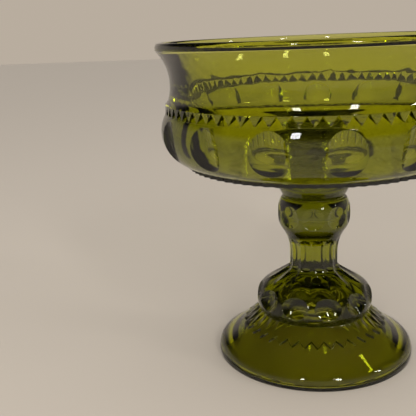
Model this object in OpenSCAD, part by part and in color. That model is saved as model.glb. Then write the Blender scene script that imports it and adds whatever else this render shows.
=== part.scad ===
// Footed compote bowl in pressed green glass: a thick-walled round bowl on a
// knopped stem with a hollow flared foot. Millimetres, +Z up, origin at the
// centre of the foot's underside, on the surface that the foot stands on.

/* [Bowl] */
// Largest diameter, across the lip
rim_d = 152; // [140:1:170]
// Height of the bowl, from its joint with the collar to the lip
bowl_h = 71.8; // [68:0.1:80]
// Diameter of the full, round edge of the lip in section
lip_t = 4.2; // [3.6:0.1:5]
// Inset of the waist's outside from the lip's outside
waist_in = 6.3; // [5:0.1:8]
// Depth of the waist below the lip
waist_drop = 19.7; // [18:0.1:22]
// Radius of the outward flare of the rim, in section
flare_r = 24.1; // [23:0.1:27]
// Inset of the inner wall's narrowest line from the waist's outside
wall_t = 7; // [6:0.1:8]
// Depth of the inner wall's narrowest line below the waist
inner_drop = 4.3; // [3:0.1:6]
// Inset of the printed band's widest line from the lip's outside
band_in = 1.1; // [0.4:0.1:2]
// Height of the band's widest line above the flat underside
band_rise = 17.9; // [17:0.1:18.6]
// Radius of the band's bulge, in section
band_r = 16.5; // [15.5:0.1:17]
// Height of the ledge's upper edge above the flat underside
ledge_rise = 32.85; // [32:0.05:33.6]
// Fall of the sloping ledge between the waist and the toothed band
ledge_h = 1.95; // [1.6:0.05:2.4]
// Height of the ledge's upright outer edge
ledge_edge = 0.25; // [0.15:0.05:0.4]
// Thickness of the bowl's floor
floor_t = 5.1; // [4.5:0.1:9]
// Draft of the inner wall on each side, from its narrowest line down to the floor corner
cavity_draft = 1.2; // [0.8:0.1:2]
// Radius of the inner corner between wall and floor
floor_corner_r = 12; // [8:0.5:15]
// Inset of the notched edge round the flat underside from the lip's outside
base_in = 13.7; // [12.5:0.1:15]
// Height of the flat underside above the joint with the collar
base_rise = 11.7; // [10:0.1:13]

/* [Bowl pattern] */
// Number of thumbprints round the bowl
bowl_prints = 15; // [12:1:16]
// Depth of a thumbprint at its centre
bowl_print_depth = 4; // [3:0.1:4.5]
// Sideways radius of a thumbprint's hollow
bowl_print_r = 12; // [10:0.5:14]
// Upright radius of a thumbprint's hollow
bowl_print_long_r = 60; // [40:1:80]
// Lean of a thumbprint's axis below the level, in degrees
bowl_print_lean = 9; // [2:0.5:12]
// Turn of the first thumbprint from the +X axis, in degrees
bowl_turn = 16; // [0:1:24]
// Number of teeth in the bowl's toothed band and in its notched base
bowl_teeth = 75; // [60:1:90]
// Depth of the notches between the teeth
tooth_depth = 1.15; // [0.8:0.05:1.4]
// Height of the toothed band under the ledge
tooth_h = 4.4; // [3.6:0.1:5]
// Width of the flat that is left on the crest of each tooth
tooth_land = 0.3; // [0.2:0.05:0.5]

/* [Collar] */
// Height of the joining collar between stem and bowl
collar_h = 6.2; // [5:0.1:8]
// Diameter of the collar where it meets the bowl
collar_top_d = 37; // [35:0.5:40]
// Diameter of the collar where it meets the stem
collar_foot_d = 30; // [28:0.5:32]

/* [Stem] */
// Height of the straight neck over the joint, up to the cove
upper_neck_h = 1.85; // [1:0.05:4]
// Largest diameter of the knop
knop_d = 36.9; // [36:0.1:38]
// Height of the stem's top above the knop's widest line
knop_top_h = 8.7; // [8:0.1:9.5]
// Radius of the knop's lower half, in section
knop_low_r = 13.5; // [12.8:0.1:14]
// Radius of the knop's upper half, in section
knop_high_r = 19; // [17:0.1:22]
// Diameter of the neck at its narrowest
neck_d = 24.2; // [23.4:0.1:25]
// Radius of the cove between neck and knop, in section
neck_cove_r = 21; // [20:0.1:22]

/* [Stem pattern] */
// Number of thumbprints round the knop
knop_prints = 9; // [8:1:9]
// Turn of the knop's first thumbprint from the +X axis, in degrees
knop_turn = 29; // [0:1:40]
// Depth of a knop thumbprint at its centre
knop_print_depth = 2.2; // [1.5:0.1:2.4]
// Depth of the knop thumbprints' centres below the stem's top
knop_print_drop = 8; // [7:0.1:9]
// Radius of the hollow of each knop thumbprint
knop_print_r = 13; // [12:0.5:14]
// Number of flutes round the neck
flutes = 13; // [12:1:14]
// Turn of the first flute from the +X axis, in degrees
flute_turn = 1.7; // [0:0.1:27]
// Depth of each flute at the neck
flute_depth = 0.45; // [0.4:0.05:0.6]
// Radius of each flute's upper end, in section
flute_end_r = 17.5; // [16:0.1:18]
// Radius of each flute's lower end, in section
flute_low_r = 9.2; // [8:0.1:9.4]

/* [Foot] */
// Diameter of the foot where it stands
foot_d = 100; // [96:0.5:108]
// Height of the straight neck under the joint, down to the cove
lower_neck_h = 1.53; // [1:0.01:4]
// Height of the upright edge round the foot
edge_h = 3.6; // [3.2:0.1:4]
// Small step inward at the mould line on the edge
edge_step = 0.3; // [0.2:0.05:0.5]
// Height of the mould line on the edge
edge_step_h = 2.5; // [2:0.1:2.8]
// Radius of the rounded shoulder over the edge
shoulder_r = 4; // [3.5:0.1:4.5]
// Radius of the hollow curve of the flare, in section
foot_flare_r = 100; // [80:1:150]
// Height of the flare's inner end, at the foot of the skirt's valleys
flare_top_h = 17.1; // [16.6:0.1:17.4]
// Inset of the flare's inner end from the points of the skirt
flare_in = 3; // [2.5:0.1:3.5]
// Overhang of the skirt's crests beyond the bulb at the skirt's top
skirt_ledge = 0.9; // [0.6:0.1:1.2]
// Spread of the skirt's crests from its top to their points
skirt_spread = 7; // [6.5:0.1:8]
// Height of the skirt's top above the flare's inner end
skirt_h = 5.3; // [4.9:0.1:5.8]
// Number of pleats in the skirt
pleats = 36; // [30:1:40]
// Turn of the first pleat from the +X axis, in degrees
pleat_turn = 3; // [0:1:10]
// Depth of the valleys between the pleats
pleat_depth = 0.9; // [0.7:0.05:1]
// Width of the flat that is left on the crest of each pleat
pleat_land = 0.3; // [0.2:0.05:0.5]
// Largest diameter of the bulb
bulb_d = 59.4; // [58.6:0.2:60.4]
// Height of the bulb's widest line above the skirt's top
bulb_rise = 6.6; // [6.1:0.1:7.1]
// Radius of the bulb, in section
bulb_r = 14.3; // [14:0.1:14.6]
// Radius of the cove between neck and bulb, in section
bulb_cove_r = 7; // [6.5:0.1:7.4]
// Number of thumbprints round the bulb
bulb_prints = 11; // [9:1:11]
// Turn of the bulb's first thumbprint from the +X axis, in degrees
bulb_turn = 22; // [0:1:32]
// Depth of a bulb thumbprint at its centre
bulb_print_depth = 2.6; // [2:0.1:3]
// Radius of the hollow of each bulb thumbprint
bulb_print_r = 12; // [11:0.5:12.5]
// Rise of a bulb thumbprint's axis above the level, in degrees
bulb_print_rise = 12; // [8:1:16]
// Width of the standing ring round the hollow under the foot
ring_w = 5; // [4:0.1:6.5]
// Diameter of the hollow where its cone ends inside the bulb
dome_d = 36; // [34:0.5:38]
// Height of the cone's end above the skirt's top
dome_lift = 3.6; // [3:0.1:4.5]
// Radius of the rounding from the cone over to the hollow's small flat top, in section
dome_round_r = 21; // [16:1:22]

/* [Hidden] */
glass = [0.45, 0.5, 0.08, 0.75];
$fn = 96;
// Overrun of every cut past the glass
over = 1;
// Depth by which the notched base ring is sunk in the glass behind it
bury = 0.3;
// Distance outside the crests at which the point of each wedge-shaped notch lies
wedge_lead = 0.15;
// Width of the fine step between the inner flare and the round edge of the lip
lip_step = 0.15;
// Height of the notched base ring, as a share of the floor's thickness
base_ring_share = 0.8;

// Foot: the skirt and the bulb, which carry one another's radii and levels
bulb_x = bulb_d / 2 - bulb_r;
skirt_top_h = flare_top_h + skirt_h;
bulb_z = skirt_top_h + bulb_rise;
bulb_seat_r = bulb_x + sqrt(pow(bulb_r, 2) - pow(bulb_rise, 2));
skirt_top_r = bulb_seat_r + skirt_ledge;
skirt_r = skirt_top_r + skirt_spread;
flare_top_r = skirt_r - flare_in;
neck_r = neck_d / 2;
bulb_cove_x = neck_r + bulb_cove_r;
bulb_cove_z = bulb_z
    + sqrt(pow(bulb_r + bulb_cove_r, 2) - pow(bulb_cove_x - bulb_x, 2));
foot_h = bulb_cove_z + lower_neck_h;

// Foot: the shoulder and the hollow curve of the flare
foot_r = foot_d / 2;
shoulder_x = foot_r - edge_step - shoulder_r;
shoulder_turn = 62;
flare_low_r = shoulder_x + shoulder_r * cos(shoulder_turn);
flare_low_h = edge_h + shoulder_r * sin(shoulder_turn);
flare_run = flare_low_r - flare_top_r;
flare_fall = flare_top_h - flare_low_h;
flare_len = norm([flare_run, flare_fall]);
// The curve's centre lies above the middle of its chord, square to it
flare_reach = sqrt(pow(foot_flare_r, 2) - pow(flare_len / 2, 2));
foot_flare_x = (flare_low_r + flare_top_r) / 2 + flare_reach * flare_fall / flare_len;
foot_flare_z = (flare_low_h + flare_top_h) / 2 + flare_reach * flare_run / flare_len;

// Foot: the skirt's crests run out on the flare
skirt_tip_h = foot_flare_z - sqrt(pow(foot_flare_r, 2) - pow(skirt_r - foot_flare_x, 2));
skirt_fall = skirt_top_h - skirt_tip_h;
skirt_len = norm([skirt_spread, skirt_fall]);
pleat_pitch = 360 / pleats;

// Foot: the conical hollow, and the rounding that runs on from it to the dome's flat top
hollow_r = foot_r - ring_w;
dome_r = dome_d / 2;
dome_z = skirt_top_h + dome_lift;
hollow_lean = atan2(hollow_r - dome_r, dome_z);
dome_x = dome_r - dome_round_r * cos(hollow_lean);
dome_round_z = dome_z - dome_round_r * sin(hollow_lean);
dome_top = dome_round_z + dome_round_r;

// Stem: centres of its section arcs, which run into one another
knop_low_x = knop_d / 2 - knop_low_r;
knop_high_x = knop_d / 2 - knop_high_r;
neck_cove_x = neck_r + neck_cove_r;
neck_cove_z = upper_neck_h;
knop_z = neck_cove_z
    + sqrt(pow(knop_low_r + neck_cove_r, 2) - pow(neck_cove_x - knop_low_x, 2));
stem_h = knop_z + knop_top_h;
flute_pitch = 360 / flutes;

// Levels of the joints above the table
stem_z = foot_h;
collar_z = stem_z + stem_h;
bowl_z = collar_z + collar_h;

// Bowl: radii and levels above its own joint
rim_r = rim_d / 2;
lip_r = lip_t / 2;
lip_z = bowl_h - lip_r;
waist_r = rim_r - waist_in;
waist_h = bowl_h - waist_drop;
flare_x = waist_r + flare_r;
band_x = rim_r - band_in - band_r;
band_h = base_rise + band_rise;
ledge_top = base_rise + ledge_rise;
tooth_top = ledge_top - ledge_h;
tooth_foot = tooth_top - tooth_h;
// The teeth's crests rise straight from the bulge at the foot of their band
crest_r = band_x + sqrt(pow(band_r, 2) - pow(tooth_foot - band_h, 2));
ledge_r = flare_x - sqrt(pow(flare_r, 2) - pow(ledge_top - waist_h, 2));
base_r = rim_r - base_in;
cavity_r = waist_r - wall_t;
cavity_h = waist_h - inner_drop;
// The inner flare runs from the inner wall's narrowest line into the inner side of the lip
inner_run = rim_r - lip_t - lip_step - cavity_r;
inner_flare_r = (pow(lip_z - cavity_h, 2) + pow(inner_run, 2)) / (2 * inner_run);
cavity_floor = base_rise + floor_t;
corner_x = cavity_r - cavity_draft - floor_corner_r;
corner_z = cavity_floor + floor_corner_r;

// Upright V-shaped notches round a rim, from the root radius past the crests
module notches(count, root, crest, land, height) {
    pitch_angle = 360 / count;
    half_gap = crest * tan(pitch_angle / 2) - land / 2;
    spread = (crest + over - root) / (crest - root);
    for (i = [0 : count - 1])
        rotate((i + 0.5) * pitch_angle)
            linear_extrude(height = height)
                polygon([
                    [root, 0],
                    [crest + over, -half_gap * spread],
                    [crest + over, half_gap * spread]
                ]);
}

// Wedge-shaped notches round a rim, which start in a point and open upward
module wedges(count, crest, depth, land, height) {
    pitch_angle = 360 / count;
    half_gap = crest * tan(pitch_angle / 2) - land / 2;
    spread = (depth + over) / depth;
    for (i = [0 : count - 1])
        rotate((i + 0.5) * pitch_angle)
            polyhedron(
                points = [
                    [crest + wedge_lead, 0, 0],
                    [crest - depth, 0, height],
                    [crest + over, -half_gap * spread, height],
                    [crest + over, half_gap * spread, height]
                ],
                faces = [[1, 3, 2], [0, 1, 2], [0, 3, 1], [0, 2, 3]]
            );
}

// Ring of upright teeth, with its inner side buried in the glass behind it
module toothed_ring(crest, height) {
    root = crest - tooth_depth;
    rotate(bowl_turn)
        difference() {
            rotate_extrude()
                translate([root - over, 0]) square([over + tooth_depth, height]);
            translate([0, 0, -over])
                notches(bowl_teeth, root, crest, tooth_land, height + 2 * over);
        }
}

// Space inside the bowl, as a half section
module bowl_cavity_section() {
    difference() {
        polygon([
            [0, cavity_floor],
            [corner_x, cavity_floor],
            [corner_x, corner_z],
            [corner_x + floor_corner_r, corner_z],
            [cavity_r, cavity_h],
            [rim_r, cavity_h],
            [rim_r, lip_z],
            [0, lip_z]
        ]);
        translate([cavity_r + inner_flare_r, cavity_h]) circle(r = inner_flare_r);
    }
    translate([corner_x, corner_z]) circle(r = floor_corner_r);
}

// Glass of the bowl before its pattern, as a half section
module bowl_section() {
    difference() {
        union() {
            polygon([
                [0, 0],
                [collar_top_d / 2, 0],
                [collar_top_d / 2 + base_rise, base_rise],
                [base_r - tooth_depth - bury, base_rise],
                [base_r - tooth_depth - bury, band_h],
                [crest_r, tooth_foot],
                [crest_r, tooth_top + ledge_edge],
                [ledge_r, ledge_top],
                [0, ledge_top]
            ]);
            difference() {
                translate([0, ledge_top]) square([rim_r, lip_z - ledge_top]);
                translate([flare_x, waist_h]) circle(r = flare_r);
            }
            intersection() {
                translate([band_x, band_h]) circle(r = band_r);
                square([rim_r, tooth_foot]);
            }
        }
        translate([collar_top_d / 2 + base_rise, 0]) circle(r = base_rise);
        bowl_cavity_section();
    }
    intersection() {
        translate([rim_r - lip_r, lip_z]) circle(r = lip_r);
        translate([0, lip_z]) square([rim_r, lip_r]);
    }
}

// One tall thumbprint in the band, hollowed by the outer side of a ring
module bowl_print() {
    reach = bowl_print_long_r - bowl_print_depth;
    rotate([90, 0, 0])
        translate([band_x, band_h, 0])
            rotate(-bowl_print_lean)
                translate([band_r + reach, 0, 0])
                    rotate_extrude()
                        translate([bowl_print_long_r - bowl_print_r, 0])
                            circle(r = bowl_print_r);
}

module bowl() {
    color(glass)
        translate([0, 0, bowl_z])
            difference() {
                union() {
                    rotate_extrude() bowl_section();
                    translate([0, 0, base_rise]) toothed_ring(base_r, floor_t * base_ring_share);
                }
                translate([0, 0, tooth_foot])
                    rotate(bowl_turn)
                        wedges(bowl_teeth, crest_r, tooth_depth, tooth_land, tooth_h);
                for (i = [0 : bowl_prints - 1])
                    rotate(bowl_turn + i * 360 / bowl_prints) bowl_print();
            }
}

module collar() {
    color(glass)
        translate([0, 0, collar_z])
            cylinder(h = collar_h, d1 = collar_foot_d, d2 = collar_top_d);
}

// Glass of the stem before its pattern, as a half section
module stem_section() {
    difference() {
        polygon([
            [0, 0],
            [neck_r, 0],
            [neck_r, neck_cove_z],
            [neck_cove_x, neck_cove_z],
            [knop_low_x, knop_z],
            [0, knop_z]
        ]);
        translate([neck_cove_x, neck_cove_z]) circle(r = neck_cove_r);
    }
    intersection() {
        translate([knop_low_x, knop_z]) circle(r = knop_low_r);
        translate([0, neck_cove_z]) square([knop_d, knop_z - neck_cove_z]);
    }
    intersection() {
        translate([knop_high_x, knop_z]) circle(r = knop_high_r);
        translate([0, knop_z]) square([knop_d, knop_top_h]);
    }
}

// Flat-bottomed flutes round the neck, each cut square across its own section
module flutes_cut() {
    for (i = [0 : flutes - 1])
        rotate(flute_turn + i * flute_pitch)
            rotate([90, 0, 0])
                translate([0, 0, -neck_r])
                    linear_extrude(height = neck_d) children();
}

// Round thumbprints, hollowed by balls whose centres stand off from the glass
module ball_prints(count, turn, print_r, offset_r, offset_z) {
    for (i = [0 : count - 1])
        rotate(turn + i * 360 / count)
            translate([offset_r, 0, offset_z]) sphere(r = print_r);
}

module stem() {
    color(glass)
        translate([0, 0, stem_z])
            difference() {
                rotate_extrude() stem_section();
                flutes_cut()
                    intersection() {
                        union() {
                            translate([neck_r - flute_depth, -over])
                                square([flute_end_r, neck_cove_z + over]);
                            translate([neck_r - flute_depth + flute_end_r, neck_cove_z])
                                circle(r = flute_end_r);
                        }
                        translate([0, -over]) square([knop_d, knop_z]);
                    }
                ball_prints(
                    knop_prints,
                    knop_turn,
                    knop_print_r,
                    knop_d / 2 + knop_print_r - knop_print_depth,
                    stem_h - knop_print_drop
                );
            }
}

// Bulb and lower neck, above the skirt, as a half section
module bulb_section() {
    difference() {
        polygon([
            [0, skirt_top_h],
            [bulb_x, skirt_top_h],
            [bulb_x, bulb_z],
            [bulb_cove_x, bulb_cove_z],
            [neck_r, bulb_cove_z],
            [neck_r, foot_h],
            [0, foot_h]
        ]);
        translate([bulb_cove_x, bulb_cove_z]) circle(r = bulb_cove_r);
    }
    intersection() {
        translate([bulb_x, bulb_z]) circle(r = bulb_r);
        translate([0, skirt_top_h]) square([bulb_d, bulb_z + bulb_r - skirt_top_h]);
    }
}

// Flared foot under the skirt, as a half section
module flare_section() {
    difference() {
        union() {
            polygon([
                [0, 0],
                [foot_r, 0],
                [foot_r, edge_step_h],
                [foot_r - edge_step, edge_step_h + edge_step],
                [foot_r - edge_step, edge_h],
                [shoulder_x, edge_h],
                [flare_low_r, flare_low_h],
                [flare_top_r, flare_top_h],
                [0, flare_top_h]
            ]);
            intersection() {
                translate([shoulder_x, edge_h]) circle(r = shoulder_r);
                translate([0, edge_h]) square([foot_d, shoulder_r]);
            }
        }
        translate([foot_flare_x, foot_flare_z]) circle(r = foot_flare_r);
    }
}

// Skirt of pleats that run down from the bulb and die out in points on the flare
module skirt() {
    lean = atan2(skirt_spread, -skirt_fall);
    half_gap = skirt_r * tan(pleat_pitch / 2) - pleat_land / 2;
    spread = (pleat_depth + over) / pleat_depth;
    difference() {
        rotate_extrude()
            polygon([
                [0, skirt_tip_h - over],
                [skirt_r, skirt_tip_h - over],
                [skirt_r, skirt_tip_h],
                [skirt_top_r, skirt_top_h],
                [0, skirt_top_h]
            ]);
        for (i = [0 : pleats - 1])
            rotate(pleat_turn + (i + 0.5) * pleat_pitch)
                translate([skirt_top_r, 0, skirt_top_h])
                    rotate([0, lean, 0])
                        translate([0, 0, -2 * over])
                            linear_extrude(height = skirt_len + 4 * over)
                                polygon([
                                    [pleat_depth, 0],
                                    [-over, -half_gap * spread],
                                    [-over, half_gap * spread]
                                ]);
    }
}

// Hollow under the foot, as a half section
module hollow_section() {
    polygon([
        [0, -over],
        [hollow_r, -over],
        [hollow_r, 0],
        [dome_r, dome_z],
        [dome_x, dome_z],
        [dome_x, dome_top],
        [0, dome_top]
    ]);
    intersection() {
        translate([dome_x, dome_round_z]) circle(r = dome_round_r);
        translate([0, dome_z]) square([dome_r, dome_top - dome_z]);
    }
}

module foot() {
    print_reach = bulb_r + bulb_print_r - bulb_print_depth;
    color(glass)
        difference() {
            union() {
                rotate_extrude() flare_section();
                skirt();
                rotate_extrude() bulb_section();
            }
            rotate_extrude() hollow_section();
            flutes_cut()
                translate([neck_r - flute_depth + flute_low_r, foot_h])
                    circle(r = flute_low_r);
            ball_prints(
                bulb_prints,
                bulb_turn,
                bulb_print_r,
                bulb_x + print_reach * cos(bulb_print_rise),
                bulb_z + print_reach * sin(bulb_print_rise)
            );
        }
}

bowl();
collar();
stem();
foot();
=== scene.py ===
"""Looks of a footed compote bowl in green pressed glass.

The four CAD nodes touch where the glass was fused while hot, so light runs
through the joints. One closed skin of glass stands for all four. It is a
chain of grids that starts in the hollow under the foot, runs out over the
standing ring, up the outside, over the lip, down the inside and ends in the
middle of the bowl's floor. Sizes are in millimetres until a mesh is made.
"""

import bpy
import numpy as np
from mathutils import Matrix


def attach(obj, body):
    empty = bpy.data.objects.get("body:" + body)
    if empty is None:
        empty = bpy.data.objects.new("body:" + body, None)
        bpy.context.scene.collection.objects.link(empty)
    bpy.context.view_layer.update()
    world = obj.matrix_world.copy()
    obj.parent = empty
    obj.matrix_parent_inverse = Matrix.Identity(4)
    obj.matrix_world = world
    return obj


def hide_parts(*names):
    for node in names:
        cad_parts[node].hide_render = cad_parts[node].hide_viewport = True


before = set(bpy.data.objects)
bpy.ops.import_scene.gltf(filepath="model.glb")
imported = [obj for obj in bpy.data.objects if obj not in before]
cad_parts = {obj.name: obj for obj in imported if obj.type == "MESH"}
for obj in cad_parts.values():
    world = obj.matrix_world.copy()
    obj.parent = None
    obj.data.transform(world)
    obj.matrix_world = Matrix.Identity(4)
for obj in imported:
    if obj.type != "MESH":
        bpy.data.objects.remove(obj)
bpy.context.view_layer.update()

MM = 0.001

# A circle is (radius and height of its centre, its own radius), and a place is (radius, height).
# Angles are in degrees here, apart from the camera's, and columns' angles and offsets are in
# radians. PLEAT_TURN, BULB_TURN, FLUTE_TURN, KNOP_TURN and BOWL_TURN are the angles of a pattern's
# first repeat from the x axis.
# The last number of an arc or a line is its count of points. Where two follow one another, the
# second starts a little further on, so that no point comes twice.

# Foot
FOOT_R = 50.0
FOOT_CORNER_R = 0.6
EDGE_H = 3.6
EDGE_STEP = 0.3
EDGE_STEP_H = 2.5
SHOULDER_R = 4.0
SHOULDER_TURN = 62.0
FLARE_R = 100.0
FLARE_TOP = (33.0, 17.1)
HOLLOW_R = 45.0
DOME_R = 18.0
DOME_Z = 26.0
DOME_ROUND_R = 21.0
# The standing ring's rounded inner edge, as steps from HOLLOW_R
RING_EDGE = ((-0.7, 0.7), (-0.2, 0.25), (0.5, 0.0))

# Skirt
PLEATS = 36
PLEAT_TURN = 3.0
PLEAT_DEPTH = 0.9
PLEAT_LAND = 0.3
# How far below the skirt's top the mesh takes the width of the grooves
GROOVE_DROP = 6.0
SKIRT_TOP = (28.99, 22.4)
SKIRT_SPREAD = 7.0
ZIGZAG_R = 36.5
ZIGZAG_DEPTH = 3.0
STEP_RISE = 1.1
STEP_BACK = 0.7

# Bulb and neck
BULB = (15.4, 29.0, 14.3)
BULB_START = -26.6
SHOULDER = (20.9, 29.0, 8.8)
SHOULDER_LEAN = 57.3
BULB_PRINTS = 11
BULB_TURN = 22.0
BULB_PRINT_R = 11.5
BULB_PRINT_DEPTH = 3.0
BULB_PRINT_RISE = 19.0
NECK_R = 12.1
BULB_COVE_R = 4.6
NECK_COVE = (33.1, 53.356, 21.0)
FLUTES = 13
FLUTE_TURN = 1.7
FLUTE_DEPTH = 0.8
# The flutes fade out over the shoulder, from full depth at the inner radius to none at the outer
FLUTE_FADE = (19.1, 25.6)
FLUTE_TOP_Z = 58.0
FLUTE_ARCH_H = 3.8

# Knop
KNOP_LOW = (4.95, 73.3, 13.5)
KNOP_HIGH = (-0.55, 73.3, 19.0)
KNOP_TOP_Z = 82.0
KNOP_EDGE_R = 0.5
KNOP_PRINTS = 9
KNOP_TURN = 29.0
KNOP_PRINT_R = 13.0
KNOP_PRINT_DEPTH = 2.2
KNOP_PRINT_Z = 74.0

# Collar
COLLAR_FOOT_R = 15.0
# The fillet's circle and the start of the cone, as steps from the corner at the collar's foot
COLLAR_FILLET = (0.35, 0.42, 0.4)
CONE_START = (0.6, 1.1)
COLLAR_TOP = (18.5, 88.2)

# Bowl
BASE_Z = 99.9
BASE_R = 62.3
BASE_EDGE = 0.12
BASE_LAND = 1.2
BASE_TOP_GAP = 0.05
UNDERSIDE_R = 57.0
BOWL_COVE_R = 11.7
BAND = (58.4, 117.8, 16.5)
BAND_START = -75.5
BOWL_PRINTS = 15
BOWL_TURN = 16.0
PRINT_DEPTH = 4.0
PRINT_R = 12.0
PRINT_LONG_R = 60.0
PRINT_LEAN = 9.0
PRINT_DEEPEST = 6.0
# From the centre of the band's circle to that of a tall print's
PRINT_REACH = BAND[2] + PRINT_LONG_R - PRINT_DEPTH
TEETH = 75
# Depth of the notches in the ring round the underside
TOOTH_DEPTH = 1.15
TOOTH_LAND = 0.3
TOOTH_FOOT = 126.4
TOOTH_TOP = 130.8
# Sideways run of a tooth's flank for each unit inward
TOOTH_DRAFT = 0.25
TOOTH_FACE_R = 72.3
# Inward run of a gap's bottom for each unit upward
GAP_SLOPE = 0.9
# Shares of a tooth's height at which it has a row of points
TOOTH_SHARES = (0.0, 0.08, 0.2, 0.35, 0.5, 0.65, 0.8, 0.9, 1.0)
# The rows just under and over the teeth, as steps from the band's surface and from their faces
TEETH_START = (-0.02, -0.1)
TEETH_END = (0.0, 0.03)
LEDGE_EDGE = 0.25
LEDGE_TOP = 132.9
# The ledge's rounded edge, as steps from the top of its upright face
LEDGE_ROUND = ((0.0, -0.08), (-0.06, 0.06), (-0.3, 0.33))
# Where the ledge's slope ends, as a step from the foot of the waist
LEDGE_END = (0.15, -0.2)
OUTER_FLARE = (93.8, 140.3, 24.1)
RIM_R = 76.0
LIP = (73.9, 157.9, 2.1)
# The rim's upright band, as depths below the lip's centre
RIM_BAND = (0.9, 0.4)
CAVITY_WAIST = (62.7, 136.0)
WAIST_BAND_H = 3.0
CAVITY_LOW = (61.5, 117.0)
FLOOR_CORNER = (49.5, 117.0, 12.0)
FLOOR_Z = 105.0
FLOOR_EDGE = 4.0
FLOOR_POLE_R = 1.5

# Glass. A path of t metres lets through exp(-density * (1 - tint) * t) of each colour
GLASS_TINT = (0.85, 0.86, 0.05, 1)
GLASS_DENSITY = 350.0
GLASS_IOR = 1.52
GLASS_ROUGHEST = 0.02
RIPPLE_SCALE = 90.0
RIPPLE_DETAIL = 2.0
RIPPLE_STRENGTH = 0.12
RIPPLE_HEIGHT = 0.0012
SHARP_ANGLE = 38

# Stage and light. Each lamp has its name, place, width, height and power, in metres and watts
FLOOR_HALF = 4000.0
FLOOR_COLOUR = (0.56, 0.485, 0.4, 1)
FLOOR_ROUGHNESS = 0.8
SURROUND_LOW = (0.482, 0.417, 0.344, 1)
SURROUND_HIGH = (0.02, 0.019, 0.018, 1)
SURROUND_RISE = (0.15, 0.45)
DIFFUSE_LEVEL = (0.85, 0.85, 0.85, 1)
LAMP_AIM = (0, 0, 0.1)
LAMPS = (
    ("window", (0.5, -0.9, 0.68), 0.13, 0.4, 3.2),
    ("fill", (-0.22, -0.95, 0.72), 0.1, 0.34, 2.1),
    ("side", (1.0, -0.2, 0.55), 0.08, 0.3, 1.5),
)

# Camera, in metres and radians, with a sensor in millimetres. FOCAL_PIXELS is its focal length in
# pixels of a square picture that is PICTURE_PIXELS wide
CAMERA_PLACE = (0.0, -0.3384, 0.16465)
CAMERA_YAW = -0.1592
CAMERA_PITCH = 0.2546
CAMERA_ROLL = -0.0414
FOCAL_PIXELS = 681.4
PICTURE_PIXELS = 416
SENSOR_WIDTH = 36.0
CAMERA_NEAR = 0.01


def arc(centre, start, end, count):
    """Points on a circle from one angle to another, in degrees."""
    x, z, radius = centre
    turn = np.radians(np.linspace(start, end, count))
    return np.column_stack((x + radius * np.cos(turn), z + radius * np.sin(turn)))


def line(start, end, count):
    """Points spread evenly from start to end, both included."""
    return np.linspace(start, end, count)


def crowded(start, end, count):
    """Values from start to end, closer together near both ends, as the cosine of even steps."""
    return (start + end) / 2 + (start - end) / 2 * np.cos(np.linspace(0, np.pi, count))


def halved(inside, low, high, steps=32):
    """The value between low and high at which inside() stops being true, found by halving the gap."""
    for _ in range(steps):
        middle = (low + high) / 2
        keep = inside(middle)
        low = np.where(keep, middle, low)
        high = np.where(keep, high, middle)
    return (low + high) / 2


def turned(profile, columns):
    """Surface of revolution: point (i, j) is profile point i turned by column j's share of 360."""
    profile = np.asarray(profile, float)
    turn = np.linspace(0, 2 * np.pi, columns, endpoint=False)
    r, z = profile[:, :1], profile[:, 1:]
    return np.stack((r * np.cos(turn), r * np.sin(turn), z + 0 * turn), axis=-1)


def pitch_columns(edges, count, first):
    """Columns of a repeated pattern. Row i of edges holds offsets from 0, the middle of a repeat,
    to half a pitch; they are mirrored and repeated. Gives each column's offset and its full angle."""
    offset = np.concatenate((-edges[:, :0:-1], edges[:, :-1]), axis=1)
    middle = np.radians(first) + np.arange(count) * 2 * np.pi / count
    angle = (middle[None, :, None] + offset[:, None, :]).reshape(len(edges), -1)
    return np.tile(offset, (1, count)), angle


def placed(r, z, angle):
    """Points at radius r, height z and angle round the axis."""
    return np.stack((r * np.cos(angle), r * np.sin(angle), z + 0 * angle), axis=-1)


def split_pitch(width, half, inner, outer, least):
    """Offsets for pitch_columns: inner steps up to the outline's half width, outer steps beyond it.
    The half width stays the least angle, in degrees, away from the middle and from the pitch's
    edge."""
    width = np.clip(width, np.radians(least), half - np.radians(least))[:, None]
    inside = width * np.linspace(0, 1, inner + 1)
    beyond = width + (half - width) * np.linspace(0, 1, outer + 1)[1:]
    return np.concatenate((inside, beyond), axis=1)


def normals_of(profile):
    """Outward unit normals of a profile whose outside lies to the right of its direction."""
    step = np.gradient(np.asarray(profile, float), axis=0)
    step /= np.linalg.norm(step, axis=1, keepdims=True)
    return np.column_stack((step[:, 1], -step[:, 0]))


def crossing(reach, radius, other):
    """Angle in degrees between the line from a circle's centre to another's, reach away, and the
    line to the point where the two circles cross: the cosine rule."""
    return np.degrees(np.arccos((reach**2 + radius**2 - other**2) / (2 * reach * radius)))


def ball_width(r, z, ball_r, ball_x, ball_z):
    """Half angle at which the circle of radius r and height z enters a ball round (ball_x, ball_z):
    the cosine rule in the triangle of the axis, the ball's centre and the point."""
    cosine = (r**2 + ball_x**2 + (z - ball_z) ** 2 - ball_r**2) / (2 * r * ball_x)
    return np.arccos(np.clip(cosine, -1, 1))


def ball_depth(r, z, nr, nz, offset, ball_r, ball_x, ball_z):
    """How far a point moves along its inward normal to leave the ball: the larger root of
    |point - t * normal - centre| = ball radius, or 0 where the point lies outside the ball."""
    x, y, h = r * np.cos(offset) - ball_x, r * np.sin(offset), z - ball_z
    dx, dy, dh = -nr * np.cos(offset), -nr * np.sin(offset), -nz
    along = x * dx + y * dy + h * dh
    out = x**2 + y**2 + h**2 - ball_r**2
    return np.where(out < 0, -along + np.sqrt(np.maximum(along**2 - out, 0)), 0)


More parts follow.
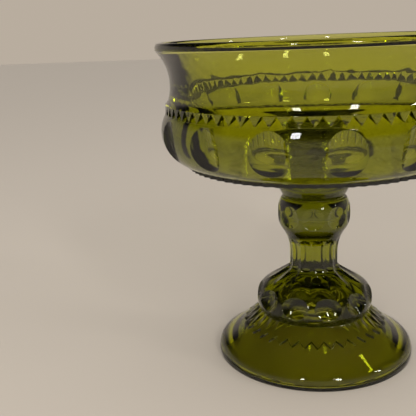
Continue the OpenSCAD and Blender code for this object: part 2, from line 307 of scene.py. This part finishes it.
def ball_printed(profile, count, first, ball, inner, outer, least):
    """A turned profile with a ring of ball-shaped hollows, whose outlines the columns follow."""
    n = normals_of(profile)
    r, z, nr, nz = (v[:, None] for v in (profile[:, 0], profile[:, 1], n[:, 0], n[:, 1]))
    edges = split_pitch(ball_width(r[:, 0], z[:, 0], *ball), np.pi / count, inner, outer, least)
    offset, angle = pitch_columns(edges, count, first)
    depth = ball_depth(r, z, nr, nz, offset, *ball)
    return placed(r - nr * depth, z - nz * depth, angle)


def notch_edge(root, crest, slope):
    """Offset at which a V-shaped notch meets the crest circle. The notch's flank runs from the root
    radius outward by slope for each unit sideways, so cos(a) - slope * sin(a) = root / crest there."""
    ratio = np.clip(root / crest / np.hypot(1, slope), -1, 1)
    return np.maximum(np.arccos(ratio) - np.arctan(slope), 0)


def notch_radius(root, crest, slope, offset):
    """Radius of a notched rim at an offset from the notch's middle: the flank, or the crest circle."""
    return np.minimum(crest, root / (np.cos(offset) - slope * np.sin(np.abs(offset))))


def foot_flare():
    """Centre of the flare's circle, over the middle of its chord and square to it, and the flare's
    low end, where the rounded shoulder stops."""
    x = FOOT_R - EDGE_STEP - SHOULDER_R
    low = np.array([x + SHOULDER_R * np.cos(np.radians(SHOULDER_TURN)),
                    EDGE_H + SHOULDER_R * np.sin(np.radians(SHOULDER_TURN))])
    top = np.array(FLARE_TOP)
    run, fall = low[0] - top[0], top[1] - low[1]
    length = np.hypot(run, fall)
    reach = np.sqrt(FLARE_R**2 - (length / 2) ** 2)
    centre = (low + top) / 2 + reach * np.array([fall, run]) / length
    return centre, low


FLARE_CENTRE, FLARE_LOW = foot_flare()


def flare_z(r):
    """Height of the flare's upper surface at radius r, on its hollow circle."""
    return FLARE_CENTRE[1] - np.sqrt(FLARE_R**2 - (r - FLARE_CENTRE[0]) ** 2)


def bulb_r_at(z):
    """Radius of the bulb's circle at height z."""
    return BULB[0] + np.sqrt(np.maximum(BULB[2] ** 2 - (z - BULB[1]) ** 2, 0))


def dome_arc():
    """The rounding that runs on from the hollow's cone: its circle touches the cone at the cone's end,
    so its centre lies square to the cone from there. Gives the circle and the cone's lean."""
    lean = np.arctan2(HOLLOW_R - DOME_R, DOME_Z)
    centre = (DOME_R - DOME_ROUND_R * np.cos(lean), DOME_Z - DOME_ROUND_R * np.sin(lean), DOME_ROUND_R)
    return centre, np.degrees(lean)


def foot_hollow():
    """The hollow from the small flat top of its dome down its cone to the standing ring."""
    dome, lean = dome_arc()
    edge = np.array(RING_EDGE) + (HOLLOW_R, 0)
    return turned(np.vstack((
        arc(dome, 90, lean, 14),
        line((DOME_R, DOME_Z), edge[0], 18)[1:],
        edge[1:],
    )), columns=180)


def foot_edge():
    """The standing ring, the edge with its mould line and the rounded shoulder."""
    corner = FOOT_R - FOOT_CORNER_R
    inner = FOOT_R - EDGE_STEP
    return turned(np.vstack((
        line((HOLLOW_R + 1.5, 0), (corner - 1, 0), 3),
        arc((corner, FOOT_CORNER_R, FOOT_CORNER_R), -90, 0, 5),
        line((FOOT_R, EDGE_STEP_H - 0.4), (FOOT_R, EDGE_STEP_H), 2),
        line((inner, EDGE_STEP_H + EDGE_STEP), (inner, EDGE_H), 2),
        arc((inner - SHOULDER_R, EDGE_H, SHOULDER_R), 6, SHOULDER_TURN, 11),
    )), columns=240)


def skirt_grooves(z):
    """Root radius, crest radius and flank slope of the pleats at height z: V-shaped grooves cut
    square to the leaning crest line."""
    tip_r = SKIRT_TOP[0] + SKIRT_SPREAD
    fall = SKIRT_TOP[1] - flare_z(tip_r)
    length = np.hypot(SKIRT_SPREAD, fall)
    crest = SKIRT_TOP[0] + (SKIRT_TOP[1] - z) * SKIRT_SPREAD / fall
    half_gap = tip_r * np.tan(np.pi / PLEATS) - PLEAT_LAND / 2
    level_depth = PLEAT_DEPTH * length / fall
    slope = level_depth / half_gap
    return crest - level_depth, crest, slope


def pleated_skirt():
    """The flare up to the zigzag round the skirt, the small step there and the pleated skirt above it.
    The zigzag's radius falls evenly from a crest's point to a groove's middle. The step rises square
    to the flare and leans back along it, and the skirt bulges by the step's rise, which fades with
    the square of the way left to the skirt's top."""
    half = np.pi / PLEATS
    edge = min(notch_edge(*skirt_grooves(SKIRT_TOP[1] - GROOVE_DROP)), half * 0.9)
    edges = np.concatenate((edge * np.linspace(0, 1, 6), [half]))[None, :]
    offset, angle = pitch_columns(edges, PLEATS, PLEAT_TURN + 180 / PLEATS)

    def at(z):
        return np.maximum(notch_radius(*skirt_grooves(z), offset), bulb_r_at(z))

    end_r = ZIGZAG_R - ZIGZAG_DEPTH * (1 - np.abs(offset) / half)
    share = np.linspace(0.04, 1, 14)[:, None]
    flare_r = FLARE_LOW[0] + (end_r - FLARE_LOW[0]) * share
    flare = placed(flare_r, flare_z(flare_r), angle)
    lean = np.arcsin((FLARE_CENTRE[0] - end_r) / FLARE_R)
    start_r = end_r + STEP_RISE * np.sin(lean) - STEP_BACK * np.cos(lean)
    start_z = flare_z(end_r) + STEP_RISE * np.cos(lean) + STEP_BACK * np.sin(lean)
    share = np.linspace(0, 1, 10)[:, None]
    z = start_z + (SKIRT_TOP[1] - start_z) * share
    skirt = placed(at(z) + (start_r - at(start_z)) * (1 - share) ** 2, z, angle)
    return np.concatenate((flare, skirt))


def bulb():
    """The bulb with its ring of round prints. Below its widest line it is round by BULB, and above
    it by the tighter SHOULDER, whose centre is level with it, so that the two touch there."""
    reach = SHOULDER[2] + BULB_PRINT_R - BULB_PRINT_DEPTH
    rise = np.radians(BULB_PRINT_RISE)
    ball = (BULB_PRINT_R, SHOULDER[0] + reach * np.cos(rise), SHOULDER[1] + reach * np.sin(rise))
    high = BULB_PRINT_RISE + crossing(reach, SHOULDER[2], BULB_PRINT_R)
    profile = np.vstack((
        arc(BULB, BULB_START, -1, 12),
        arc(SHOULDER, 0, high - 6, 16),
        arc(SHOULDER, high - 5, high + 0.3, 7),
        arc(SHOULDER, high + 1.5, SHOULDER_LEAN - 0.4, 2),
    ))
    return ball_printed(profile, BULB_PRINTS, BULB_TURN, ball, inner=8, outer=4, least=2.0)


def bulb_cove():
    """The cove between the shoulder's straight slope and the neck: its circle touches both, so its
    centre lies its radius off each. Gives the slope's low end and the circle."""
    lean = np.radians(SHOULDER_LEAN)
    low = (SHOULDER[0] + SHOULDER[2] * np.cos(lean), SHOULDER[1] + SHOULDER[2] * np.sin(lean))
    x = NECK_R + BULB_COVE_R
    z = low[1] + (BULB_COVE_R - (x - low[0]) * np.cos(lean)) / np.sin(lean)
    return low, (x, z, BULB_COVE_R)


def knop_start():
    """Angle at which the neck's cove runs into the knop: its centre looks at the knop's there."""
    return np.degrees(np.arctan2(KNOP_LOW[1] - NECK_COVE[1], KNOP_LOW[0] - NECK_COVE[0]))


def neck_angle(z):
    """Angle on the neck's cove at which it reaches height z."""
    return 180 - np.degrees(np.arcsin((z - NECK_COVE[1]) / NECK_COVE[2]))


def fluted_neck():
    """Shoulder, neck and cove with hollow flutes. A flute's depth falls with the square of the offset
    from its middle, so that its neighbours meet in a ridge. It fades in over the bulb's shoulder and
    ends in an arch under the knop."""
    low, cove = bulb_cove()
    cove_foot = arc(cove, 180 + SHOULDER_LEAN, 180, 12)
    arch_start, arch_end = neck_angle(FLUTE_TOP_Z), neck_angle(FLUTE_TOP_Z + FLUTE_ARCH_H)
    profile = np.vstack((
        line(low, cove_foot[0], 10)[:-1],
        cove_foot,
        line((NECK_R, cove[1]), (NECK_R, NECK_COVE[1]), 4)[1:],
        arc(NECK_COVE, 177, arch_start, 4),
        arc(NECK_COVE, arch_start - 1, arch_end, 9),
        arc(NECK_COVE, arch_end - 1, knop_start() + 6, 2),
    ))
    n = normals_of(profile)
    r, z, nr, nz = (v[:, None] for v in (profile[:, 0], profile[:, 1], n[:, 0], n[:, 1]))
    half = np.pi / FLUTES
    over = np.clip((z[:, 0] - FLUTE_TOP_Z) / FLUTE_ARCH_H, 0, 1)
    width = half * np.sqrt(np.maximum(1 - over**2, 0))
    edges = split_pitch(width, half, inner=5, outer=2, least=0.7)
    offset, angle = pitch_columns(edges, FLUTES, FLUTE_TURN)
    fade = np.clip((FLUTE_FADE[1] - r) / (FLUTE_FADE[1] - FLUTE_FADE[0]), 0, 1)
    fade = np.where(z < cove[1], fade * fade * (3 - 2 * fade), 1)
    depth = FLUTE_DEPTH * fade * np.maximum(1 - (offset / half) ** 2 - over[:, None] ** 2, 0)
    return placed(r - nr * depth, z - nz * depth, angle)


def knop():
    """The knop with its ring of round prints, up to the joint with the collar."""
    ball = (KNOP_PRINT_R, KNOP_LOW[0] + KNOP_LOW[2] + KNOP_PRINT_R - KNOP_PRINT_DEPTH, KNOP_PRINT_Z)
    start = knop_start()
    top = np.degrees(np.arcsin((KNOP_TOP_Z - KNOP_HIGH[1]) / KNOP_HIGH[2]))
    profile = np.vstack((
        arc(NECK_COVE, start + 4, start, 3),
        arc(KNOP_LOW, start - 180 + 3, -22, 5),
        arc(KNOP_LOW, -21, 0, 14),
        arc(KNOP_HIGH, 1, 19, 14),
        arc(KNOP_HIGH, 20, top - 1.2, 6),
    ))
    return ball_printed(profile, KNOP_PRINTS, KNOP_TURN, ball, inner=9, outer=4, least=2.0)


def collar_and_underside():
    """Top of the knop, the collar's cone, the cove under the bowl and its flat underside."""
    top_r = KNOP_HIGH[0] + np.sqrt(KNOP_HIGH[2] ** 2 - (KNOP_TOP_Z - KNOP_HIGH[1]) ** 2)
    corner = np.array((COLLAR_FOOT_R, KNOP_TOP_Z))
    cove = (COLLAR_TOP[0] + BOWL_COVE_R, COLLAR_TOP[1], BOWL_COVE_R)
    return turned(np.vstack((
        arc((top_r - KNOP_EDGE_R, KNOP_TOP_Z - KNOP_EDGE_R, KNOP_EDGE_R), 35, 90, 4),
        arc((*(corner + COLLAR_FILLET[:2]), COLLAR_FILLET[2]), 265, 165, 5),
        line(corner + CONE_START, COLLAR_TOP, 6),
        arc(cove, 172, 92, 11),
        line((cove[0], BASE_Z), (UNDERSIDE_R, BASE_Z), 7),
    )), columns=180)


def base_ring():
    """The notched ring round the underside: flat below, with upright notches up to the band."""
    half = np.pi / TEETH
    root = BASE_R - TOOTH_DEPTH
    slope = TOOTH_DEPTH / (BASE_R * np.tan(half) - TOOTH_LAND / 2)
    edge = notch_edge(root, BASE_R, slope)
    edges = np.array([[0, edge / 2, edge, half]])
    offset, angle = pitch_columns(edges, TEETH, BOWL_TURN + 180 / TEETH)
    r = notch_radius(root, BASE_R, slope, offset)
    top = BAND[1] - np.sqrt(BAND[2] ** 2 - (r - BAND[0]) ** 2)
    level = BASE_Z + 0 * r
    return np.concatenate((
        placed(r - BASE_LAND, level, angle), placed(r - BASE_EDGE, level, angle),
        placed(r, level + BASE_EDGE, angle), placed(r, top - BASE_TOP_GAP, angle)))


def print_gap(x, y, z):
    """Distance from the ring-shaped cutter of a tall print, negative inside its round section."""
    lean = np.radians(PRINT_LEAN)
    centre_x = BAND[0] + PRINT_REACH * np.cos(lean)
    centre_z = BAND[1] - PRINT_REACH * np.sin(lean)
    across = np.hypot(x - centre_x, z - centre_z) - (PRINT_LONG_R - PRINT_R)
    return np.hypot(across, y) - PRINT_R


def bowl_band():
    """The bulging band with its ring of tall prints. A point inside a cutter moves along its inward
    normal until it leaves the cutter, and the columns follow the outline, both found by halving."""
    swing = crossing(PRINT_REACH, BAND[2], PRINT_LONG_R)
    low, high = -PRINT_LEAN - swing, -PRINT_LEAN + swing
    turns = np.radians(np.concatenate((
        np.linspace(BAND_START, low - 2, 8), crowded(low - 0.2, high + 0.2, 38), [high + 2])))
    nr, nz = np.cos(turns)[:, None], np.sin(turns)[:, None]
    r, z = BAND[0] + BAND[2] * nr, BAND[1] + BAND[2] * nz
    half = np.pi / BOWL_PRINTS
    width = halved(lambda a: print_gap(r * np.cos(a), r * np.sin(a), z) < 0, 0 * r, 0 * r + half)
    edges = split_pitch(width[:, 0], half, inner=10, outer=4, least=0.8)
    offset, angle = pitch_columns(edges, BOWL_PRINTS, BOWL_TURN)

    def in_cutter(depth):
        side = r - nr * depth
        return print_gap(side * np.cos(offset), side * np.sin(offset), z - nz * depth) < 0

    depth = halved(in_cutter, 0 * offset, 0 * offset + PRINT_DEEPEST)
    depth = np.where(in_cutter(0 * offset), depth, 0)
    return placed(r - nr * depth, z - nz * depth, angle)


def toothed_band():
    """The band under the ledge: triangular teeth that hang from the ledge with their points down.
    Their upright faces share one radius. In the gaps the glass falls back evenly with height,
    and each tooth's flanks drop from its face by 1 / TOOTH_DRAFT for each unit sideways. Where two
    flanks would meet above the gap's bottom, their feet stay a little short of its middle."""
    half = np.pi / TEETH
    crest = BAND[0] + np.sqrt(BAND[2] ** 2 - (TOOTH_FOOT - BAND[1]) ** 2)
    share = np.array(TOOTH_SHARES)[:, None]
    z = TOOTH_FOOT + (TOOTH_TOP - TOOTH_FOOT) * share
    gap = crest - (z - TOOTH_FOOT) * GAP_SLOPE
    inner = (half - TOOTH_LAND / crest) * np.maximum(share, 0.04)
    flank_run = np.maximum(TOOTH_FACE_R - gap, 0) * TOOTH_DRAFT / crest
    outer = np.minimum(inner + flank_run, half * 0.97 + inner * 0.02)
    edges = np.concatenate((0 * inner, inner, outer, 0 * inner + half), axis=1)
    offset, angle = pitch_columns(edges, TEETH, BOWL_TURN)
    flank = TOOTH_FACE_R - np.maximum(np.abs(offset) - inner, 0) * crest / TOOTH_DRAFT
    r = np.maximum(gap, flank)
    flat = 0 * r[:1]
    start = placed(flat + crest + TEETH_START[0], flat + TOOTH_FOOT + TEETH_START[1], angle[:1])
    end = placed(flat + TOOTH_FACE_R + TEETH_END[0], flat + TOOTH_TOP + TEETH_END[1], angle[-1:])
    return np.concatenate((start, placed(r, z, angle), end))


def rim_and_inside():
    """Ledge, waist, flared rim, rounded lip, inner wall, floor corner and floor."""
    x, z, radius = OUTER_FLARE
    ledge_r = x - np.sqrt(radius**2 - (LEDGE_TOP - z) ** 2)
    start = 180 + np.degrees(np.arcsin((z - LEDGE_TOP) / radius))
    end = 180 - np.degrees(np.arccos((x - RIM_R) / radius))
    run, rise = LIP[0] - LIP[2] - CAVITY_WAIST[0], LIP[1] - CAVITY_WAIST[1]
    inner_r = (run**2 + rise**2) / (2 * run)
    inner_flare = (CAVITY_WAIST[0] + inner_r, CAVITY_WAIST[1], inner_r)
    inner_start = 180 - np.degrees(np.arcsin(rise / inner_r))
    edge = np.array(LEDGE_ROUND) + (TOOTH_FACE_R, TOOTH_TOP + LEDGE_EDGE)
    return turned(np.vstack((
        edge[:2],
        line(edge[2], np.add((ledge_r, LEDGE_TOP), LEDGE_END), 3),
        arc(OUTER_FLARE, start - 1, end, 20),
        [(RIM_R, LIP[1] - depth) for depth in RIM_BAND],
        arc(LIP, 0, 180, 15),
        arc(inner_flare, inner_start + 1.5, 180, 13),
        line((CAVITY_WAIST[0], CAVITY_WAIST[1] - WAIST_BAND_H), CAVITY_LOW, 6),
        arc(FLOOR_CORNER, -7, -90, 11),
        line((FLOOR_CORNER[0] - FLOOR_EDGE, FLOOR_Z), (FLOOR_POLE_R, FLOOR_Z), 9),
    )), columns=216)


def zipped(first, second, first_start, second_start):
    """Triangles between two closed rings with any numbers of points. The edges of both rings are
    taken in the order of their middle angles, and each is joined to the point that the other ring
    has reached by then."""
    def ordered(ring):
        angle = np.mod(np.arctan2(ring[:, 1], ring[:, 0]), 2 * np.pi)
        order = np.argsort(angle)
        angle = angle[order]
        return order, (angle + np.append(angle[1:], angle[0] + 2 * np.pi)) / 2

    order_a, middle_a = ordered(first)
    order_b, middle_b = ordered(second)
    reached_b = np.searchsorted(middle_b, middle_a, "left") % len(order_b)
    reached_a = np.searchsorted(middle_a, middle_b, "right") % len(order_a)
    order_a, order_b = order_a + first_start, order_b + second_start
    from_a = np.column_stack((order_a, np.roll(order_a, -1), order_b[reached_b]))
    from_b = np.column_stack((np.roll(order_b, -1), order_b, order_a[reached_a]))
    return np.concatenate((from_a, from_b))


def closed_skin(blocks, start_pole, end_pole):
    """One closed mesh from grids that follow one another: quads inside each grid, zipped triangles
    between two grids, and a fan at each pole."""
    points = [np.array([start_pole])]
    quads, triangles = [], []
    count = 1
    last_ring = last_start = None
    for block in blocks:
        rows, columns = block.shape[:2]
        index = count + np.arange(rows * columns).reshape(rows, columns)
        right = np.roll(index, -1, axis=1)
        quads.append(np.stack((index[:-1], right[:-1], right[1:], index[1:]), axis=-1).reshape(-1, 4))
        if last_ring is None:
            triangles.append(np.column_stack((np.zeros(columns, int), right[0], index[0]))[:, ::-1])
        else:
            triangles.append(zipped(last_ring, block[0], last_start, count))
        points.append(block.reshape(-1, 3))
        last_ring, last_start = block[-1], int(index[-1, 0])
        count += rows * columns
    ring = last_start + np.arange(len(last_ring))
    triangles.append(np.column_stack((ring, np.roll(ring, -1), np.full(len(ring), count))))
    points.append(np.array([end_pole]))
    return np.concatenate(points), np.concatenate(quads), np.concatenate(triangles)


def mesh_object(name, points, faces, material, sharp=None):
    """An object at the origin with its place in its mesh, shaded smooth up to the sharp angle."""
    mesh = bpy.data.meshes.new(name)
    mesh.from_pydata((points * MM).tolist(), [], faces)
    mesh.update()
    mesh.shade_smooth()
    if sharp:
        mesh.set_sharp_from_angle(angle=np.radians(sharp))
    mesh.materials.append(material)
    obj = bpy.data.objects.new(name, mesh)
    bpy.context.scene.collection.objects.link(obj)
    return obj


def new_material(name):
    """An empty node material and its tree."""
    material = bpy.data.materials.new(name)
    material.use_nodes = True
    material.node_tree.nodes.clear()
    return material, material.node_tree


def glass_material():
    """Clear green pressed glass: a polished surface with faint ripples, and colour in its depth."""
    material, tree = new_material("green_pressed_glass")
    nodes, links = tree.nodes, tree.links
    out = nodes.new("ShaderNodeOutputMaterial")
    body = nodes.new("ShaderNodeBsdfPrincipled")
    body.inputs["Base Color"].default_value = (1.0, 1.0, 1.0, 1)
    body.inputs["Transmission Weight"].default_value = 1.0
    body.inputs["Metallic"].default_value = 0.0
    body.inputs["IOR"].default_value = GLASS_IOR
    depth = nodes.new("ShaderNodeVolumeAbsorption")
    depth.inputs["Color"].default_value = GLASS_TINT
    depth.inputs["Density"].default_value = GLASS_DENSITY
    where = nodes.new("ShaderNodeTexCoord")
    ripple = nodes.new("ShaderNodeTexNoise")
    ripple.inputs["Scale"].default_value = RIPPLE_SCALE
    ripple.inputs["Detail"].default_value = RIPPLE_DETAIL
    bump = nodes.new("ShaderNodeBump")
    bump.inputs["Strength"].default_value = RIPPLE_STRENGTH
    bump.inputs["Distance"].default_value = RIPPLE_HEIGHT
    rough = nodes.new("ShaderNodeMapRange")
    rough.inputs["To Min"].default_value = 0.0
    rough.inputs["To Max"].default_value = GLASS_ROUGHEST
    links.new(where.outputs["Object"], ripple.inputs["Vector"])
    links.new(ripple.outputs["Fac"], bump.inputs["Height"])
    links.new(ripple.outputs["Fac"], rough.inputs["Value"])
    links.new(rough.outputs["Result"], body.inputs["Roughness"])
    links.new(bump.outputs["Normal"], body.inputs["Normal"])
    links.new(body.outputs["BSDF"], out.inputs["Surface"])
    links.new(depth.outputs["Volume"], out.inputs["Volume"])
    return material


def floor_material():
    """Plain pale matt floor."""
    material, tree = new_material("pale_floor")
    out = tree.nodes.new("ShaderNodeOutputMaterial")
    body = tree.nodes.new("ShaderNodeBsdfPrincipled")
    body.inputs["Base Color"].default_value = FLOOR_COLOUR
    body.inputs["Roughness"].default_value = FLOOR_ROUGHNESS
    tree.links.new(body.outputs["BSDF"], out.inputs["Surface"])
    return material


def build_glass():
    """The whole compote as one closed skin of glass that stands for the four CAD nodes."""
    blocks = [
        foot_hollow(), foot_edge(), pleated_skirt(), bulb(), fluted_neck(), knop(),
        collar_and_underside(), base_ring(), bowl_band(), toothed_band(), rim_and_inside(),
    ]
    dome_top = dome_arc()[0][1] + DOME_ROUND_R
    points, quads, triangles = closed_skin(blocks, (0, 0, dome_top), (0, 0, FLOOR_Z))
    glass = mesh_object("compote_glass", points, quads.tolist() + triangles.tolist(),
                        glass_material(), sharp=SHARP_ANGLE)
    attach(glass, "root")
    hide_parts("bowl", "collar", "stem", "foot")
    return glass


def build_stage():
    """The floor under the foot, as one wide flat square."""
    far = FLOOR_HALF
    points = np.array([(-far, -far, 0), (far, -far, 0), (far, far, 0), (-far, far, 0)])
    floor = mesh_object("floor", points, [(0, 1, 2, 3)], floor_material())


def build_camera():
    """The camera that took the photograph. Its matrix has the directions to its right, to its top
    and backward as columns: yaw and pitch turn the way ahead, and roll turns the other two."""
    yaw, pitch, roll = CAMERA_YAW, CAMERA_PITCH, CAMERA_ROLL
    ahead = np.array([np.sin(yaw) * np.cos(pitch), np.cos(yaw) * np.cos(pitch), -np.sin(pitch)])
    level = np.array([np.cos(yaw), -np.sin(yaw), 0.0])
    up = np.cross(level, ahead)
    right = np.cos(roll) * level + np.sin(roll) * up
    top = np.cos(roll) * up - np.sin(roll) * level
    place = CAMERA_PLACE
    data = bpy.data.cameras.new("camera")
    data.sensor_width = SENSOR_WIDTH
    data.lens = FOCAL_PIXELS / PICTURE_PIXELS * SENSOR_WIDTH
    data.clip_start = CAMERA_NEAR
    camera = bpy.data.objects.new("camera", data)
    camera.matrix_world = Matrix([
        (right[0], top[0], -ahead[0], place[0]),
        (right[1], top[1], -ahead[1], place[1]),
        (right[2], top[2], -ahead[2], place[2]),
        (0, 0, 0, 1),
    ])
    bpy.context.scene.collection.objects.link(camera)
    bpy.context.scene.camera = camera


def area_light(name, place, aim, width, height, power):
    """A soft rectangular lamp at a place, turned towards the point that it aims at."""
    data = bpy.data.lights.new(name, "AREA")
    data.shape = "RECTANGLE"
    data.size, data.size_y = width, height
    data.energy = power
    lamp = bpy.data.objects.new(name, data)
    back = np.array(place, float) - np.array(aim, float)
    back /= np.linalg.norm(back)
    side = np.cross((0, 0, 1), back)
    side /= np.linalg.norm(side)
    top = np.cross(back, side)
    lamp.matrix_world = Matrix([
        (side[0], top[0], back[0], place[0]),
        (side[1], top[1], back[1], place[1]),
        (side[2], top[2], back[2], place[2]),
        (0, 0, 0, 1),
    ])
    bpy.context.scene.collection.objects.link(lamp)


def build_light():
    """Three tall soft lamps and a surround. Camera, glossy and transmitted rays see a surround that
    is as pale as the floor near the horizon and dim above it, by the sine of the height angle.
    Diffuse rays see an even level, which lights the floor up to the horizon."""
    world = bpy.data.worlds.new("studio")
    world.use_nodes = True
    tree = world.node_tree
    tree.nodes.clear()
    out = tree.nodes.new("ShaderNodeOutputWorld")
    sky = tree.nodes.new("ShaderNodeBackground")
    where = tree.nodes.new("ShaderNodeTexCoord")
    parts = tree.nodes.new("ShaderNodeSeparateXYZ")
    height = tree.nodes.new("ShaderNodeMapRange")
    height.interpolation_type = "SMOOTHSTEP"
    height.inputs["From Min"].default_value = SURROUND_RISE[0]
    height.inputs["From Max"].default_value = SURROUND_RISE[1]
    surround = tree.nodes.new("ShaderNodeMix")
    surround.data_type = "RGBA"
    surround.inputs[6].default_value = SURROUND_LOW
    surround.inputs[7].default_value = SURROUND_HIGH
    ray = tree.nodes.new("ShaderNodeLightPath")
    level = tree.nodes.new("ShaderNodeMix")
    level.data_type = "RGBA"
    level.inputs[7].default_value = DIFFUSE_LEVEL
    tree.links.new(where.outputs["Generated"], parts.inputs["Vector"])
    tree.links.new(parts.outputs["Z"], height.inputs["Value"])
    tree.links.new(height.outputs["Result"], surround.inputs[0])
    tree.links.new(ray.outputs["Is Diffuse Ray"], level.inputs[0])
    tree.links.new(surround.outputs[2], level.inputs[6])
    tree.links.new(level.outputs[2], sky.inputs["Color"])
    tree.links.new(sky.outputs["Background"], out.inputs["Surface"])
    bpy.context.scene.world = world
    for name, place, width, tall, power in LAMPS:
        area_light(name, place, LAMP_AIM, width, tall, power)


build_glass()
build_stage()
build_camera()
build_light()
bpy.context.scene.view_settings.view_transform = "Standard"
